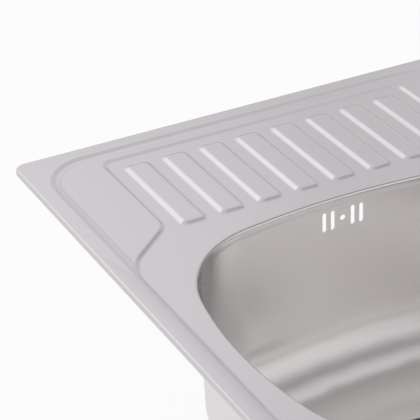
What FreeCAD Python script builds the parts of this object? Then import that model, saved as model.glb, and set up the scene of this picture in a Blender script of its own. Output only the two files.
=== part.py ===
import FreeCAD, Part
import Sketcher
import math
import os

# Inset kitchen sink with a ribbed drainer, one drawn bowl, swing clips and a basket waste.
# Origin: centre of the deck on the worktop plane. +Y points to the drainer end, +Z up.

# Driving sizes in millimetres, degrees and counts
DRIVING_SIZES = {
    "sheetThickness": 0.8,
    "overrun": 1.0,
    # deck
    "deckWidth": 480.0,
    "deckLength": 580.0,
    "deckCornerRadius": 11.0,
    "rimHeight": 5.5,
    "rimBendRadius": 2.0,
    "borderWidth": 15.5,
    "borderSlopeRun": 9.5,
    "recessCornerRadius": 48.0,
    "padLevel": 3.2,
    # sunk field with the ribs
    "fieldLevel": 0.7,
    "fieldSlopeRun": 3.8,
    "fieldRearInset": 33.2,
    "fieldInnerRadius": 9.0,
    "padInset": 76.0,
    "padKneeSetback": 153.0,
    "padKneeRadius": 22.0,
    "padSlant": 40.0,
    "padTailRadius": 42.0,
    "fieldSideInset": 20.5,
    "fieldFrontRadius": 44.0,
    "ribPitch": 39.0,
    "ribWidth": 21.9,
    "ribRearInset": 50.3,
    "ribBowlGap": 26.1,
    "ribCornerRadius": 4.6,
    # bowl
    "bowlSideInset": 41.0,
    "bowlLength": 345.0,
    "bowlFrontInset": 41.0,
    "bowlSideRadius": 400.0,
    "bowlEndRadius": 700.0,
    "bowlCornerRadius": 104.0,
    "bowlDraft": 2.0,
    "bowlDepth": 175.0,
    "bowlFloorRadius": 38.0,
    "lipRadius": 3.0,
    "lipDepth": 8.0,
    "fallRadius": 85.0,
    "fallDepth": 2.5,
    # overflow holes in the rear wall
    "overflowDepth": 22.5,
    "overflowSlotWidth": 4.0,
    "overflowSlotLength": 19.7,
    "overflowInnerOffset": 10.6,
    "overflowOuterOffset": 19.6,
    "overflowDotWidth": 5.4,
    # outlet in the floor
    "seatRadius": 58.5,
    "seatDepth": 3.6,
    "outletHoleRadius": 45.0,
    # rim seal and damping pads
    "gasketInset": 2.4,
    "gasketWidth": 7.4,
    "dampingWidth": 48.0,
    "dampingLength": 130.0,
    "dampingThickness": 2.5,
    "dampingGap": 4.0,
    "dampingCornerRadius": 8.0,
    # waste strainer
    "wasteWall": 1.0,
    "upperSealThickness": 1.0,
    "sealInset": 1.5,
    "dishCupRadius": 43.4,
    "dishLedgeDepth": 4.5,
    "dishLedgeWidth": 3.2,
    "dishDepth": 36.0,
    "dimpleRadius": 9.0,
    "dimpleDepth": 4.4,
    "drainHoleRadius": 3.6,
    "drainRingRadius": 19.0,
    "drainHoleCount": 8,
    "lowerSealThickness": 4.0,
    "bodyFlangeThickness": 4.0,
    "bodyWall": 3.0,
    "bodyCupRadius": 50.0,
    "bodyDepth": 42.0,
    "bodyConeDrop": 10.0,
    "outletRadius": 23.9,
    "outletLength": 24.0,
    "outletWall": 3.4,
    "bossRadius": 7.0,
    "bossLength": 17.0,
    "bossGap": 2.5,
    "bridgeThickness": 4.0,
    "insertRadius": 4.5,
    "wasteScrewRadius": 3.0,
    "wasteScrewHeadRadius": 6.0,
    "wasteScrewHeadHeight": 3.0,
    "wasteScrewLength": 19.0,
    "screwGap": 0.1,
    # basket and its stopper
    "basketGap": 0.6,
    "basketRimHeight": 1.4,
    "basketRadius": 37.6,
    "basketBottomRadius": 33.0,
    "basketDepth": 20.0,
    "basketWall": 0.8,
    "basketHoleRadius": 2.4,
    "basketHoleRingRadius": 19.0,
    "basketHoleCount": 8,
    "basketSlotWidth": 2.6,
    "basketSlotHeight": 9.0,
    "basketSlotCount": 12,
    "stopperRadius": 31.0,
    "stopperThickness": 3.6,
    "stopperHollowRadius": 11.0,
    "stopperHollowDepth": 1.2,
    "postRadius": 3.0,
    "postFit": 0.05,
    "postFootRadius": 10.0,
    "knobRadius": 10.5,
    "knobNeckRadius": 5.5,
    "knobHeight": 11.0,
    "knobChamfer": 2.2,
    "knobSeatShare": 0.4,
    "knobBrimShare": 0.55,
    "knobLift": 9.0,
    "clipRingRadius": 5.4,
    "clipRingThickness": 1.2,
    # clips under the rim
    "clipSetback": 32.0,
    "clipPivotDrop": 9.0,
    "lugThickness": 1.5,
    "lugInnerReach": 14.0,
    "lugEarRadius": 6.0,
    "armWidth": 18.0,
    "armSideGap": 0.4,
    "armThickness": 2.0,
    "armBarrelRadius": 4.5,
    "armLeverReach": 14.6,
    "armLegLength": 40.0,
    "armFootReach": 18.0,
    "armToothHeight": 4.0,
    "armToothPitch": 6.0,
    "armNotchWidth": 4.8,
    "armNotchDepth": 2.0,
    "armBendRadius": 1.6,
    "rivetRadius": 2.0,
    "rivetFit": 0.03,
    "barrelFit": 0.06,
    "rivetHeadRadius": 3.6,
    "rivetHeadHeight": 1.2,
    "clipScrewOffset": 10.0,
    "clipScrewRadius": 2.4,
    "clipScrewFit": 0.06,
    "clipScrewTipGap": 0.3,
    "clipScrewLength": 32.0,
    "clipScrewHeadRadius": 4.4,
    "clipScrewHeadHeight": 2.8,
    "clipScrewSlotWidth": 1.2,
    "clipScrewSlotDepth": 1.3,
    "clipCollarRadius": 4.4,
    "clipCollarHeight": 3.0,
    "rearClipInset": 59.0,
    "frontClipInset": 110.0,
    "sideClipSetback": 76.0,
}


class Size:
    """A length with its value now and the sheet formula that gives it."""

    def __init__(self, value, formula):
        self.value = value
        self.formula = formula

    def __add__(self, other):
        other = as_size(other)
        return Size(self.value + other.value, "(%s + %s)" % (self.formula, other.formula))

    def __sub__(self, other):
        other = as_size(other)
        return Size(self.value - other.value, "(%s - %s)" % (self.formula, other.formula))

    def __mul__(self, other):
        other = as_size(other)
        return Size(self.value * other.value, "(%s * %s)" % (self.formula, other.formula))

    def __truediv__(self, other):
        other = as_size(other)
        return Size(self.value / other.value, "(%s / %s)" % (self.formula, other.formula))

    def __neg__(self):
        return Size(-self.value, "(0 - %s)" % self.formula)


def as_size(number):
    return number if isinstance(number, Size) else Size(number, repr(number))


def angle_size(name, function, angle):
    """Sine, cosine or tangent of a sheet angle in degrees."""
    return Size(function(math.radians(angle.value)), "%s(%s)" % (name, angle.formula))


doc = FreeCAD.newDocument("KitchenSink")


def fill_sheet():
    sheet = doc.addObject("Spreadsheet::Sheet", "Sizes")
    for row, (alias, number) in enumerate(DRIVING_SIZES.items(), start=1):
        sheet.set("A%d" % row, alias)
        sheet.set("B%d" % row, str(number))
        sheet.setAlias("B%d" % row, alias)
    doc.recompute()
    return sheet


sizes = fill_sheet()


def size(alias):
    return Size(float(getattr(sizes, alias)), "Sizes.%s" % alias)


ZERO = as_size(0)
skin = size("sheetThickness")
overrun = size("overrun")
closeEnough = 0.01


# Outlines: each corner is (x, y, radius, turn). The radius belongs to the arc that leaves
# the corner, None for a straight edge. Turn is 1 for an arc to the left, -1 to the right.

def arc_middle(start, end, radius, turn):
    chord = end - start
    half = chord.Length / 2
    rise = radius - math.sqrt(max(radius * radius - half * half, 0))
    side = FreeCAD.Vector(chord.y, -chord.x, 0)
    side.normalize()
    return (start + end) / 2 + side * (rise * turn)


def pin_point(sketch, geometry, end, x, y):
    """Hold one point of the sketch at sheet formulas for x and y."""
    for kind, axis, place in (("DistanceX", -2, x), ("DistanceY", -1, y)):
        if place.formula == ZERO.formula:
            sketch.addConstraint(Sketcher.Constraint("PointOnObject", geometry, end, axis))
        else:
            fixed = Sketcher.Constraint(kind, -1, 1, geometry, end, place.value)
            index = sketch.addConstraint(fixed)
            sketch.setExpression("Constraints[%d]" % index, place.formula)


def draw_outline(sketch, corners):
    """Draw a closed outline of lines and arcs and tie every corner to the sheet."""
    first = sketch.GeometryCount
    count = len(corners)
    points = [FreeCAD.Vector(x.value, y.value, 0) for x, y, radius, turn in corners]
    for i, (x, y, radius, turn) in enumerate(corners):
        start = points[i]
        end = points[(i + 1) % count]
        if radius is None:
            sketch.addGeometry(Part.LineSegment(start, end), False)
        else:
            middle = arc_middle(start, end, radius.value, turn)
            sketch.addGeometry(Part.Arc(start, middle, end), False)
    ends = []
    for i, point in enumerate(points):
        from_start = sketch.getPoint(first + i, 1).distanceToPoint(point)
        at_start = from_start < sketch.getPoint(first + i, 2).distanceToPoint(point)
        ends.append((1, 2) if at_start else (2, 1))
    for i in range(count):
        after = (i + 1) % count
        sketch.addConstraint(Sketcher.Constraint("Coincident", first + i, ends[i][1],
                                                 first + after, ends[after][0]))
    for i, (x, y, radius, turn) in enumerate(corners):
        pin_point(sketch, first + i, ends[i][0], x, y)
        if radius is not None:
            index = sketch.addConstraint(Sketcher.Constraint("Radius", first + i, radius.value))
            sketch.setExpression("Constraints[%d]" % index, radius.formula)


def draw_circle(sketch, x, y, radius):
    centre = FreeCAD.Vector(x.value, y.value, 0)
    index = sketch.addGeometry(Part.Circle(centre, FreeCAD.Vector(0, 0, 1), radius.value), False)
    pin_point(sketch, index, 3, x, y)
    held = sketch.addConstraint(Sketcher.Constraint("Radius", index, radius.value))
    sketch.setExpression("Constraints[%d]" % held, radius.formula)


def level_sketch(name, corners, height):
    """A free sketch that lies level at a height from the sheet."""
    sketch = doc.addObject("Sketcher::SketchObject", name)
    draw_outline(sketch, corners)
    sketch.setExpression("Placement.Base.z", height.formula)
    return sketch


def upright():
    """Placement of a sketch that stands in the X-Z plane."""
    return FreeCAD.Placement(FreeCAD.Vector(), FreeCAD.Rotation(FreeCAD.Vector(1, 0, 0), 90))


def rounded_box(half_x, half_y, radius, grow=ZERO, middle_x=ZERO, middle_y=ZERO):
    """A rectangle with round corners, grown on every side from fixed corner centres."""
    right = middle_x + half_x + grow
    left = middle_x - half_x - grow
    rear = middle_y + half_y + grow
    front = middle_y - half_y - grow
    inner_right = middle_x + half_x - radius
    inner_left = middle_x - half_x + radius
    inner_rear = middle_y + half_y - radius
    inner_front = middle_y - half_y + radius
    round_radius = radius + grow
    return [
        (right, inner_front, None, 0),
        (right, inner_rear, round_radius, 1),
        (inner_right, rear, None, 0),
        (inner_left, rear, round_radius, 1),
        (left, inner_rear, None, 0),
        (left, inner_front, round_radius, 1),
        (inner_left, front, None, 0),
        (inner_right, front, round_radius, 1),
    ]


def loft(name, low, high):
    """A straight-walled solid between two level outlines."""
    part = doc.addObject("Part::Loft", name)
    part.Sections = [low, high]
    part.Solid = True
    part.Ruled = True
    return part


def extrude(name, sketch, direction, length):
    part = doc.addObject("Part::Extrusion", name)
    part.Base = sketch
    part.DirMode = "Custom"
    part.Dir = direction
    part.Solid = True
    part.setExpression("LengthFwd", length.formula)
    return part


def cut(name, base, tool):
    part = doc.addObject("Part::Cut", name)
    part.Base = base
    part.Tool = tool
    return part


def fuse(name, pieces):
    part = doc.addObject("Part::MultiFuse", name)
    part.Shapes = pieces
    return part


def fillet(name, base, radius, height, chosen):
    """Round the edges at one height whose middle point the test picks."""
    doc.recompute()
    edges = []
    for number, edge in enumerate(base.Shape.Edges, start=1):
        middle = edge.valueAt((edge.FirstParameter + edge.LastParameter) / 2)
        if abs(middle.z - height.value) < closeEnough and chosen(middle):
            edges.append((number, radius.value, radius.value))
    part = doc.addObject("Part::Fillet", name)
    part.Base = base
    part.Edges = edges
    return part


# Deck: the pressed top with its border, pads, sunk field, ribs and rolled-down bowl lip

halfWidth = size("deckWidth") / 2
halfLength = size("deckLength") / 2
rimHeight = size("rimHeight")
padLevel = size("padLevel")
fieldLevel = size("fieldLevel")
lipDepth = size("lipDepth")
bowlWidth = size("deckWidth") - size("bowlSideInset") * 2
bowlLength = size("bowlLength")
bowlCentreY = bowlLength / 2 + size("bowlFrontInset") - halfLength
bowlRearY = bowlCentreY + bowlLength / 2
ribLength = halfLength - size("ribRearInset") - size("ribBowlGap") - bowlRearY
ribCount = int(((halfWidth - size("padInset")) * 2 / size("ribPitch")).value)


def recess_outline(grow):
    foot = size("borderWidth") + size("borderSlopeRun")
    return rounded_box(halfWidth - foot, halfLength - foot,
                       size("recessCornerRadius") - foot + size("borderWidth"), grow)


def field_outline(grow):
    """The sunk field: a drainer between the pads that widens to the full recess at the bowl."""
    cos_slant = angle_size("cos", math.cos, size("padSlant"))
    sin_slant = angle_size("sin", math.sin, size("padSlant"))
    inner_radius = size("fieldInnerRadius")
    knee_radius = size("padKneeRadius")
    tail_radius = size("padTailRadius")
    front_radius = size("fieldFrontRadius")
    pad_x = halfWidth - size("padInset")
    side_x = halfWidth - size("fieldSideInset")
    rear_y = halfLength - size("fieldRearInset")
    front_y = size("fieldSideInset") - halfLength
    knee_y = halfLength - size("padKneeSetback")
    knee_x = pad_x + knee_radius
    knee_end_x = knee_x - knee_radius * sin_slant
    knee_end_y = knee_y - knee_radius * cos_slant
    tail_x = side_x - tail_radius
    tail_start_x = tail_x + tail_radius * sin_slant
    tail_start_y = knee_end_y - (tail_start_x - knee_end_x) * sin_slant / cos_slant
    tail_y = tail_start_y - tail_radius * cos_slant
    knee = knee_radius - grow
    tail = tail_radius + grow
    right = [
        (side_x + grow, front_y + front_radius, None, 0),
        (side_x + grow, tail_y, tail, 1),
        (tail_x + tail * sin_slant, tail_y + tail * cos_slant, None, 0),
        (knee_x - knee * sin_slant, knee_y - knee * cos_slant, knee, -1),
        (pad_x + grow, knee_y, None, 0),
        (pad_x + grow, rear_y - inner_radius, inner_radius + grow, 1),
        (pad_x - inner_radius, rear_y + grow, None, 0),
    ]
    left = [
        (inner_radius - pad_x, rear_y + grow, inner_radius + grow, 1),
        (-pad_x - grow, rear_y - inner_radius, None, 0),
        (-pad_x - grow, knee_y, knee, -1),
        (knee * sin_slant - knee_x, knee_y - knee * cos_slant, None, 0),
        (-tail_x - tail * sin_slant, tail_y + tail * cos_slant, tail, 1),
        (-side_x - grow, tail_y, None, 0),
        (-side_x - grow, front_y + front_radius, front_radius + grow, 1),
        (front_radius - side_x, front_y - grow, None, 0),
        (side_x - front_radius, front_y - grow, front_radius + grow, 1),
    ]
    return right + left


def bowl_corner_centre():
    """Centre of the corner arc that runs into the side arc and the end arc of the bowl."""
    side_radius = size("bowlSideRadius").value
    end_radius = size("bowlEndRadius").value
    corner_radius = size("bowlCornerRadius").value
    side_x = bowlWidth.value / 2 - side_radius
    end_y = bowlLength.value / 2 - end_radius
    from_side = side_radius - corner_radius
    from_end = end_radius - corner_radius
    apart = math.hypot(side_x, end_y)
    along = (from_side ** 2 - from_end ** 2 + apart ** 2) / (2 * apart)
    across = math.sqrt(from_side ** 2 - along ** 2)
    x = side_x * (1 - along / apart) - end_y / apart * across
    y = end_y * along / apart - side_x / apart * across
    return x, y


def bowl_sketch(name, grow, height):
    """The bowl outline: bowed sides and ends that run smoothly into round corners."""
    sketch = doc.addObject("Sketcher::SketchObject", name)
    side_radius = size("bowlSideRadius") + grow
    end_radius = size("bowlEndRadius") + grow
    corner_radius = size("bowlCornerRadius") + grow
    side_x = bowlWidth / 2 - size("bowlSideRadius")
    end_y = bowlLength / 2 - size("bowlEndRadius")
    corner_x, corner_y = bowl_corner_centre()
    lean = math.atan2(corner_y, corner_x - side_x.value)
    turn = math.atan2(corner_y - end_y.value, corner_x)
    up = math.pi / 2
    middle = bowlCentreY.value
    arcs = [
        (side_x.value, 0, side_radius, -lean, lean),
        (corner_x, corner_y, corner_radius, lean, turn),
        (0, end_y.value, end_radius, turn, 2 * up - turn),
        (-corner_x, corner_y, corner_radius, 2 * up - turn, 2 * up - lean),
        (-side_x.value, 0, side_radius, 2 * up - lean, 2 * up + lean),
        (-corner_x, -corner_y, corner_radius, 2 * up + lean, 2 * up + turn),
        (0, -end_y.value, end_radius, 2 * up + turn, 4 * up - turn),
        (corner_x, -corner_y, corner_radius, 4 * up - turn, 4 * up - lean),
    ]
    for x, y, radius, start, end in arcs:
        circle = Part.Circle(FreeCAD.Vector(x, y + middle, 0), FreeCAD.Vector(0, 0, 1), radius.value)
        sketch.addGeometry(Part.ArcOfCircle(circle, start, end), False)
    for i in range(len(arcs)):
        sketch.addConstraint(Sketcher.Constraint("Tangent", i, 2, (i + 1) % len(arcs), 1))
    for i, (x, y, radius, start, end) in enumerate(arcs):
        index = sketch.addConstraint(Sketcher.Constraint("Radius", i, radius.value))
        sketch.setExpression("Constraints[%d]" % index, radius.formula)
    pin_point(sketch, 0, 3, side_x, bowlCentreY)
    pin_point(sketch, 2, 3, ZERO, bowlCentreY + end_y)
    pin_point(sketch, 4, 3, -side_x, bowlCentreY)
    pin_point(sketch, 6, 3, ZERO, bowlCentreY - end_y)
    sketch.setExpression("Placement.Base.z", height.formula)
    return sketch


def bowl_loft(name, grow, low, high):
    """The drafted bowl walls between two heights, as one solid plug."""
    draft = angle_size("tan", math.tan, size("bowlDraft"))
    lower = bowl_sketch(name + "Low", grow + (low - fieldLevel) * draft, low)
    upper = bowl_sketch(name + "High", grow + (high - fieldLevel) * draft, high)
    return loft(name, lower, upper)


def slope_loft(name, outline, run, low, high, spare_low, spare_high):
    """A plug whose walls lean out by run from low to high, carried on past both levels."""
    lean = run / (high - low)
    bottom = level_sketch(name + "Foot", outline(-(lean * spare_low)), low - spare_low)
    top = level_sketch(name + "Top", outline(run + lean * spare_high), high + spare_high)
    return loft(name, bottom, top)


def rib_loft(name, number, drop):
    """One drainer rib with leaning flanks, its foot sunk in the field by the overrun."""
    half_run = size("fieldSlopeRun") / 2
    middle_x = size("ribPitch") * (as_size(number) - as_size(ribCount - 1) / 2)
    middle_y = halfLength - size("ribRearInset") - ribLength / 2
    lean = size("fieldSlopeRun") / (padLevel - fieldLevel)

    def outline(grow):
        return rounded_box(size("ribWidth") / 2, ribLength / 2,
                           size("ribCornerRadius"), grow, middle_x, middle_y)

    foot = level_sketch(name + "Foot", outline(half_run + lean * overrun), fieldLevel - overrun - drop)
    crest = level_sketch(name + "Crest", outline(-half_run), padLevel - drop)
    return loft(name, foot, crest)


def deck_form(name, drop):
    """The space under the deck's face, or under its back when dropped by the sheet."""
    bottom = -(lipDepth + (overrun if drop is skin else ZERO))
    plate_outline = rounded_box(halfWidth, halfLength, size("deckCornerRadius"), -drop)
    plate_sketch = level_sketch(name + "PlateOutline", plate_outline, bottom)
    plate = extrude(name + "Plate", plate_sketch, FreeCAD.Vector(0, 0, 1), rimHeight - drop - bottom)
    recess = slope_loft(name + "Recess", recess_outline, size("borderSlopeRun"),
                        padLevel - drop, rimHeight - drop, ZERO, overrun)
    half_run = size("fieldSlopeRun") / 2

    def field_at(grow):
        return field_outline(grow - half_run)

    field = slope_loft(name + "Field", field_at, size("fieldSlopeRun"),
                       fieldLevel - drop, padLevel - drop, ZERO, rimHeight - padLevel + overrun)
    sunk = cut(name + "Sunk", cut(name + "Stepped", plate, recess), field)
    ribs = [rib_loft("%sRib%d" % (name, n + 1), n, drop) for n in range(ribCount)]
    ribbed = fuse(name + "Ribbed", [sunk] + ribs)
    mouth = bowl_loft(name + "Mouth", drop, bottom - overrun, rimHeight + overrun)
    opened = cut(name + "Opened", ribbed, mouth)
    bent = fillet(name + "Bent", opened, size("rimBendRadius") - drop, rimHeight - drop, outside_border)
    return fillet(name + "Rolled", bent, size("lipRadius") - drop, fieldLevel - drop,
                  lambda middle: around_bowl(middle, drop))


def outside_border(point):
    """True on the outermost edge of the deck, outside the inner line of the border."""
    inset = size("borderWidth").value / 2
    return abs(point.x) > halfWidth.value - inset or abs(point.y) > halfLength.value - inset


def around_bowl(point, grow):
    """True inside the box around the bowl opening, where its rim is all that lies level."""
    reach_x = (bowlWidth / 2 + grow).value + closeEnough
    reach_y = (bowlLength / 2 + grow).value + closeEnough
    return abs(point.x) < reach_x and abs(point.y - bowlCentreY.value) < reach_y


def make_deck():
    face = deck_form("Face", ZERO)
    back = deck_form("Back", skin)
    sheet = cut("DeckSheet", face, back)
    below = -(lipDepth + overrun)
    corner = size("deckCornerRadius")
    border = size("borderWidth")
    trim_outline = level_sketch("TrimOutline", rounded_box(halfWidth, halfLength, corner, overrun), below)
    keep_outline = level_sketch("KeepOutline", rounded_box(halfWidth - border, halfLength - border, corner),
                                below)
    up = FreeCAD.Vector(0, 0, 1)
    trim = cut("TrimRing", extrude("TrimBlock", trim_outline, up, -below),
               extrude("KeepBlock", keep_outline, up, -below))
    deck = cut("Deck", sheet, trim)
    deck.Label = "deck"
    return deck


# Bowl: drawn with draft, a rounded floor, a fall to the outlet and a seat for the waste

floorLevel = -size("bowlDepth")
fallLevel = floorLevel - size("fallDepth")
seatLevel = fallLevel - size("seatDepth")


def bowl_plug(name, grow, low, high):
    """Bowl space as a solid, its floor edge rounded."""
    plug = bowl_loft(name, grow, low, high)
    return fillet(name + "Round", plug, size("bowlFloorRadius") + grow, low, lambda middle: True)


def well(name, grow, bottom, bottom_radius):
    """The fall and the waste seat, turned about the outlet."""
    sketch = doc.addObject("Sketcher::SketchObject", name + "Profile")
    top = floorLevel + size("bowlFloorRadius") / 4
    seat_radius = size("seatRadius") + grow
    corners = [
        (ZERO, top, None, 0),
        (size("fallRadius"), top, None, 0),
        (size("fallRadius"), floorLevel - grow, None, 0),
        (seat_radius, fallLevel - grow, None, 0),
        (seat_radius, seatLevel - grow, None, 0),
        (bottom_radius, seatLevel - grow, None, 0),
        (bottom_radius, bottom, None, 0),
        (ZERO, bottom, None, 0),
    ]
    if bottom.value == (seatLevel - grow).value:
        corners = corners[:5] + corners[7:]
    draw_outline(sketch, corners)
    sketch.Placement = upright()
    sketch.setExpression("Placement.Base.y", bowlCentreY.formula)
    part = doc.addObject("Part::Revolution", name)
    part.Source = sketch
    part.Axis = FreeCAD.Vector(0, 0, 1)
    part.setExpression("Base.y", bowlCentreY.formula)
    part.Angle = 360
    part.Solid = True
    return part


def slot_outline(middle_x, middle_z, width, length):
    half = width / 2
    straight = length / 2 - half
    return [
        (middle_x + half, middle_z - straight, None, 0),
        (middle_x + half, middle_z + straight, half, 1),
        (middle_x, middle_z + length / 2, half, 1),
        (middle_x - half, middle_z + straight, None, 0),
        (middle_x - half, middle_z - straight, half, 1),
        (middle_x, middle_z - length / 2, half, 1),
    ]


def overflow_cutter():
    """Four upright slots and a screw hole between them, through the rear wall."""
    sketch = doc.addObject("Sketcher::SketchObject", "OverflowHoles")
    middle_z = fieldLevel - size("overflowDepth")
    inner = size("overflowInnerOffset")
    outer = size("overflowOuterOffset")
    length = size("overflowSlotLength")
    for middle_x in (-outer, -inner, inner, outer):
        draw_outline(sketch, slot_outline(middle_x, middle_z, size("overflowSlotWidth"), length))
    draw_circle(sketch, ZERO, middle_z, size("overflowDotWidth") / 2)
    sketch.Placement = upright()
    behind = bowlRearY + skin + overrun
    sketch.setExpression("Placement.Base.y", behind.formula)
    return extrude("OverflowCutter", sketch, FreeCAD.Vector(0, -1, 0), length)


def make_bowl():
    outer = bowl_plug("BowlOuter", skin, floorLevel - skin, -lipDepth)
    inner = bowl_plug("BowlInner", ZERO, floorLevel, overrun - lipDepth)
    outer_well = well("WellOuter", skin, seatLevel - skin, size("seatRadius") + skin)
    inner_well = well("WellInner", ZERO, seatLevel - skin - overrun, size("outletHoleRadius"))
    shell = cut("BowlShell", fuse("BowlBlank", [outer, outer_well]), fuse("BowlSpace", [inner, inner_well]))
    bowl = cut("Bowl", shell, overflow_cutter())
    bowl.Label = "bowl"
    return bowl


# Rim seal and damping pads

def make_rim_gasket():
    """Foam strip that fills the rim between the turned-down edge and the cut-out."""
    inset = size("gasketInset")
    radius = size("deckCornerRadius")
    up = FreeCAD.Vector(0, 0, 1)
    height = rimHeight - skin
    outside = level_sketch("GasketOutside", rounded_box(halfWidth, halfLength, radius, -inset), ZERO)
    inside = level_sketch("GasketInside", rounded_box(halfWidth, halfLength, radius,
                                                      -inset - size("gasketWidth")), ZERO)
    gasket = cut("RimGasket", extrude("GasketBlock", outside, up, height),
                 extrude("GasketHole", inside, up, height))
    gasket.Label = "rim_gasket"
    return gasket


def make_damping_pads():
    """Two rubber pads stuck under the flat sides of the bowl floor."""
    pads = []
    offset = size("fallRadius") + size("dampingGap") + size("dampingWidth") / 2
    top = floorLevel - skin
    for side, middle_x in (("Left", -offset), ("Right", offset)):
        outline = rounded_box(size("dampingWidth") / 2, size("dampingLength") / 2,
                              size("dampingCornerRadius"), ZERO, middle_x, bowlCentreY)
        sketch = level_sketch("Damping" + side + "Outline", outline, top)
        pads.append(extrude("Damping" + side, sketch, FreeCAD.Vector(0, 0, -1), size("dampingThickness")))
    group = doc.addObject("Part::Compound", "DampingPads")
    group.Links = pads
    group.Label = "damping_pads"
    return group


# Bodies: turned and pressed pieces made by sketches on their own planes

def new_body(name, label):
    body = doc.addObject("PartDesign::Body", name)
    body.Label = label
    return body


def plane_of(body, role):
    return [feature for feature in body.Origin.OriginFeatures if feature.Role == role][0]


def body_sketch(body, name, role, offset=None):
    sketch = body.newObject("Sketcher::SketchObject", name)
    sketch.AttachmentSupport = [(plane_of(body, role), "")]
    sketch.MapMode = "FlatFace"
    if offset is not None:
        sketch.setExpression("AttachmentOffset.Base.z", offset.formula)
    return sketch


def turned_body(name, label, corners):
    """A body turned about its own upright axis from a half profile of radius and height."""
    body = new_body(name, label)
    sketch = body_sketch(body, name + "Profile", "XZ_Plane")
    draw_outline(sketch, corners)
    turn = body.newObject("PartDesign::Revolution", name + "Turn")
    turn.Profile = sketch
    turn.ReferenceAxis = (sketch, ["V_Axis"])
    turn.Angle = 360
    body.Tip = turn
    return body


def profile(*points):
    return [(radius, height, None, 0) for radius, height in points]


def at_outlet(body):
    body.setExpression("Placement.Base.y", bowlCentreY.formula)
    return body


def pocket(body, name, sketch, length):
    """Cut a sketch both ways through the body, by the length in all."""
    feature = body.newObject("PartDesign::Pocket", name)
    feature.Profile = sketch
    feature.Midplane = True
    feature.setExpression("Length", length.formula)
    body.Tip = feature
    return feature


def cut_through(body, name, sketch, depth):
    """Cut a sketch both ways, past the depth on each side by the overrun."""
    return pocket(body, name, sketch, (depth + overrun) * 2)


def around(body, name, feature, count):
    """Repeat the last cut evenly about the body's upright axis."""
    pattern = body.newObject("PartDesign::PolarPattern", name)
    pattern.Originals = [feature]
    pattern.Axis = (plane_of(body, "Z_Axis"), [""])
    pattern.Angle = 360
    pattern.setExpression("Occurrences", count.formula)
    body.Tip = pattern
    return pattern


# Waste: strainer dish, seals, cup, insert and centre screw

dishTop = seatLevel + size("upperSealThickness") + size("wasteWall")
dishFloor = dishTop - size("dishDepth")
ledgeLevel = dishTop - size("dishLedgeDepth")
ledgeRadius = size("dishCupRadius") - size("wasteWall") - size("dishLedgeWidth")
dishInnerRadius = size("dishCupRadius") - size("wasteWall")
flangeRadius = size("seatRadius") - size("sealInset")
dimpleFloor = dishFloor - size("dimpleDepth")
cupTop = seatLevel - skin - size("lowerSealThickness")
cupFloor = cupTop - size("bodyDepth")
coneFloor = cupFloor - size("bodyConeDrop")
bossTop = dimpleFloor - size("wasteWall") - size("bossGap")


def make_waste_dish():
    wall = size("wasteWall")
    body = turned_body("WasteDish", "waste_dish", profile(
        (flangeRadius, dishTop - wall),
        (flangeRadius, dishTop),
        (dishInnerRadius, dishTop),
        (dishInnerRadius, ledgeLevel),
        (ledgeRadius, ledgeLevel),
        (ledgeRadius, dishFloor),
        (size("dimpleRadius"), dishFloor),
        (size("dimpleRadius"), dimpleFloor),
        (size("wasteScrewRadius") + size("screwGap"), dimpleFloor),
        (size("wasteScrewRadius") + size("screwGap"), dimpleFloor - wall),
        (size("dimpleRadius") + wall, dimpleFloor - wall),
        (size("dimpleRadius") + wall, dishFloor - wall),
        (ledgeRadius + wall, dishFloor - wall),
        (ledgeRadius + wall, ledgeLevel - wall),
        (size("dishCupRadius"), ledgeLevel - wall),
        (size("dishCupRadius"), dishTop - wall),
    ))
    holes = body_sketch(body, "DrainHole", "XY_Plane", dishFloor)
    draw_circle(holes, size("drainRingRadius"), ZERO, size("drainHoleRadius"))
    hole = cut_through(body, "DrainHoleCut", holes, wall)
    around(body, "DrainHoles", hole, size("drainHoleCount"))
    return at_outlet(body)


def make_waste_seals():
    upper = turned_body("UpperSeal", "waste_upper_seal", profile(
        (size("outletHoleRadius"), seatLevel),
        (flangeRadius, seatLevel),
        (flangeRadius, seatLevel + size("upperSealThickness")),
        (size("outletHoleRadius"), seatLevel + size("upperSealThickness")),
    ))
    lower = turned_body("LowerSeal", "waste_lower_seal", profile(
        (size("outletHoleRadius") + size("sealInset"), cupTop),
        (flangeRadius, cupTop),
        (flangeRadius, cupTop + size("lowerSealThickness")),
        (size("outletHoleRadius") + size("sealInset"), cupTop + size("lowerSealThickness")),
    ))
    return [at_outlet(upper), at_outlet(lower)]


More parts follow.
